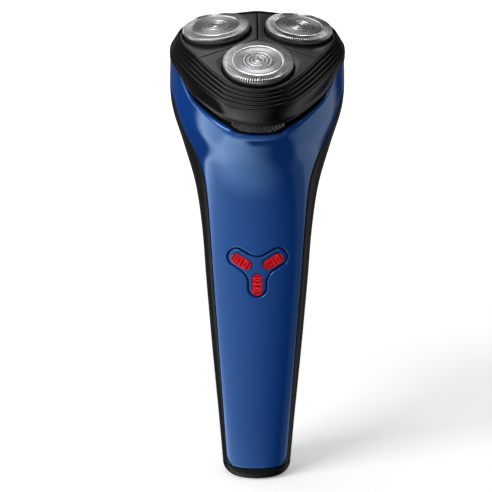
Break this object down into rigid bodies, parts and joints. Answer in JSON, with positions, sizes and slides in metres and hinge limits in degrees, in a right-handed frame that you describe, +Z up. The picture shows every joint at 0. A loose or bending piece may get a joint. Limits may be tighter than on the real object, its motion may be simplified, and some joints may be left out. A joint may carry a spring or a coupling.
{
  "type": "rotary electric shaver",
  "caption": "Cordless rotary shaver: tapered two-shell handle with a ribbed power button, and a tilted shaving head with floating caps that hinges open at the back.",
  "frame": {"origin": "centre of the flat foot under the handle", "axes": "+Z up the handle, -Y towards the user side with the power button, +X to the right seen from the user side"},
  "size_m": [0.0606, 0.0559, 0.1631],
  "materials": {
    "blue_shell": "high gloss",
    "black_shell": "gloss",
    "black_satin": "satin",
    "black_gloss": "gloss",
    "satin_plate": "satin",
    "cap_steel": "fine brushed",
    "badge": "polished",
    "steel": "ground",
    "red_rubber": "satin",
    "red_plastic": "gloss",
    "contact_brass": "plated",
    "grey_plastic": "moulded",
    "cell_wrap": "shrink wrap",
    "nickel": "plated",
    "board_green": "solder mask",
    "board_part": "moulded",
    "zinc_plate": "zinc plated",
    "gear_plastic": "natural acetal",
    "frame_plastic": "moulded"
  },
  "bodies": {
    "handle": {"front_cover": "blue_shell", "back_housing": "black_shell", "base_cap": "black_shell", "charging_socket": "black_shell", "charging_pins": "contact_brass", "inner_chassis": "grey_plastic", "chassis_screws": "steel", "battery_cell": "cell_wrap", "battery_tabs": "nickel", "circuit_board": "board_green", "board_parts": "board_part", "switch_base": "board_part", "hair_chamber": "black_satin", "hinge_pin": "steel", "gear_plate": "zinc_plate", "plate_screws": "steel", "motor_can": "zinc_plate", "motor_end_bell": "board_part"},
    "motor_rotor": {"motor_shaft": "steel", "motor_pinion": "gear_plastic"},
    "power_control": {"power_button": "blue_shell", "button_grips": "red_rubber"},
    "switch_stem": {"switch_plunger": "red_plastic"},
    "release_key": {"release_button": "black_satin"},
    "head": {"head_frame": "black_gloss", "top_plate_1": "satin_plate", "top_plate_2": "satin_plate", "top_plate_3": "satin_plate", "retaining_frame": "frame_plastic"},
    "lock_knob": {"retaining_lock": "grey_plastic"},
    "gear_1": {"drive_gear_1": "gear_plastic"},
    "spindle_1": {"drive_spindle_1": "gear_plastic"},
    "unit_1": {"shaving_cap_1": "cap_steel", "cap_badge_1": "badge"},
    "blades_1": {"cutter_1": "steel"},
    "gear_2": {"drive_gear_2": "gear_plastic"},
    "spindle_2": {"drive_spindle_2": "gear_plastic"},
    "unit_2": {"shaving_cap_2": "cap_steel", "cap_badge_2": "badge"},
    "blades_2": {"cutter_2": "steel"},
    "gear_3": {"drive_gear_3": "gear_plastic"},
    "spindle_3": {"drive_spindle_3": "gear_plastic"},
    "unit_3": {"shaving_cap_3": "cap_steel", "cap_badge_3": "badge"},
    "blades_3": {"cutter_3": "steel"}
  },
  "joints": [
    {"name": "head_hinge", "type": "hinge", "parent": "handle", "child": "head", "pos_m": [0, 0.02021, 0.15403], "axis": [-1, 0, 0], "range_deg": [0, 100]},
    {"name": "power_press", "type": "slide", "parent": "handle", "child": "power_control", "axis": [0, 1, 0], "range_m": [0, 0.0005], "stiffness_N_per_m": 900},
    {"name": "switch_press", "type": "slide", "parent": "handle", "child": "switch_stem", "axis": [0, 1, 0], "range_m": [0, 0.0005]},
    {"name": "release_press", "type": "slide", "parent": "handle", "child": "release_key", "axis": [0, 0.8729, 0.4879], "range_m": [0, 0.0009], "stiffness_N_per_m": 700},
    {"name": "motor_spin", "type": "hinge", "parent": "handle", "child": "motor_rotor", "pos_m": [0, -0.00022, 0.13689], "axis": [0, -0.4879, 0.8729], "continuous": true},
    {"name": "lock_turn", "type": "hinge", "parent": "head", "child": "lock_knob", "pos_m": [0, -0.00558, 0.14649], "axis": [0, -0.4879, 0.8729], "range_deg": [0, 60]},
    {"name": "gear_spin_1", "type": "hinge", "parent": "handle", "child": "gear_1", "pos_m": [0, -0.01375, 0.12933], "axis": [0, -0.4879, 0.8729], "continuous": true},
    {"name": "unit_float_1", "type": "slide", "parent": "head", "child": "unit_1", "axis": [0, 0.5764, -0.8171], "range_m": [0, 0.0012], "stiffness_N_per_m": 500},
    {"name": "spindle_float_1", "type": "slide", "parent": "gear_1", "child": "spindle_1", "axis": [0, 0.4879, -0.8729], "range_m": [0, 0.0012], "stiffness_N_per_m": 100},
    {"name": "cutter_spin_1", "type": "hinge", "parent": "unit_1", "child": "blades_1", "pos_m": [0, -0.02288, 0.14484], "axis": [0, -0.5764, 0.8171], "continuous": true},
    {"name": "gear_spin_2", "type": "hinge", "parent": "handle", "child": "gear_2", "pos_m": [0.01342, 0.00655, 0.14067], "axis": [0, -0.4879, 0.8729], "continuous": true},
    {"name": "unit_float_2", "type": "slide", "parent": "head", "child": "unit_2", "axis": [-0.0905, 0.4396, -0.8936], "range_m": [0, 0.0012], "stiffness_N_per_m": 500},
    {"name": "spindle_float_2", "type": "slide", "parent": "gear_2", "child": "spindle_2", "axis": [0, 0.4879, -0.8729], "range_m": [0, 0.0012], "stiffness_N_per_m": 100},
    {"name": "cutter_spin_2", "type": "hinge", "parent": "unit_2", "child": "blades_2", "pos_m": [0.01377, -0.00206, 0.15648], "axis": [0.0905, -0.4396, 0.8936], "continuous": true},
    {"name": "gear_spin_3", "type": "hinge", "parent": "handle", "child": "gear_3", "pos_m": [-0.01342, 0.00655, 0.14067], "axis": [0, -0.4879, 0.8729], "continuous": true},
    {"name": "unit_float_3", "type": "slide", "parent": "head", "child": "unit_3", "axis": [0.0905, 0.4396, -0.8936], "range_m": [0, 0.0012], "stiffness_N_per_m": 500},
    {"name": "spindle_float_3", "type": "slide", "parent": "gear_3", "child": "spindle_3", "axis": [0, 0.4879, -0.8729], "range_m": [0, 0.0012], "stiffness_N_per_m": 100},
    {"name": "cutter_spin_3", "type": "hinge", "parent": "unit_3", "child": "blades_3", "pos_m": [-0.01377, -0.00206, 0.15648], "axis": [-0.0905, -0.4396, 0.8936], "continuous": true}
  ],
  "couplings": [
    {"joint": "switch_press", "follows": "power_press", "ratio": 1},
    {"joint": "gear_spin_1", "follows": "motor_spin", "ratio": -0.63158},
    {"joint": "cutter_spin_1", "follows": "motor_spin", "ratio": -0.63158},
    {"joint": "spindle_float_1", "follows": "unit_float_1", "ratio": 1},
    {"joint": "gear_spin_2", "follows": "motor_spin", "ratio": -0.63158},
    {"joint": "cutter_spin_2", "follows": "motor_spin", "ratio": -0.63158},
    {"joint": "spindle_float_2", "follows": "unit_float_2", "ratio": 1},
    {"joint": "gear_spin_3", "follows": "motor_spin", "ratio": -0.63158},
    {"joint": "cutter_spin_3", "follows": "motor_spin", "ratio": -0.63158},
    {"joint": "spindle_float_3", "follows": "unit_float_3", "ratio": 1}
  ]
}
